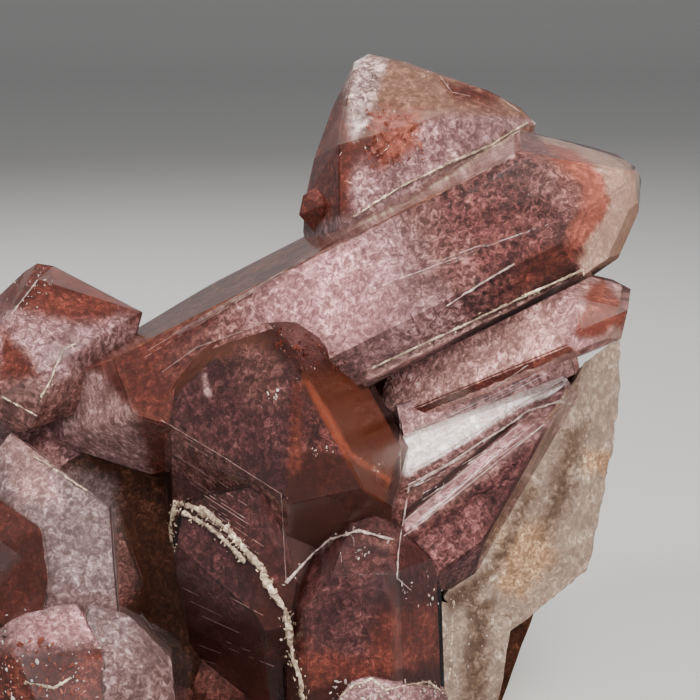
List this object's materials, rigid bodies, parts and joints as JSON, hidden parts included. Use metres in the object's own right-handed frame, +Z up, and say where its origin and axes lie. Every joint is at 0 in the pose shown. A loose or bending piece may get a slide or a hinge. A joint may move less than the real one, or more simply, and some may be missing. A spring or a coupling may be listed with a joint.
{
  "type": "phantom quartz cluster",
  "caption": "Cluster of intergrown phantom quartz crystals, clear outside with mauve and red phantoms inside, on pale milky quartz, cut flat below.",
  "frame": {"origin": "centre of the bounding box in plan, on the flat cut that the cluster rests on", "axes": "+Z up, +X to the right and -Y toward the viewer of the picture's front side"},
  "size_m": [0.102, 0.0734, 0.0973],
  "materials": {
    "quartz": "polished"
  },
  "bodies": {
    "root": {"quartz_cluster": "quartz"}
  },
  "joints": []
}
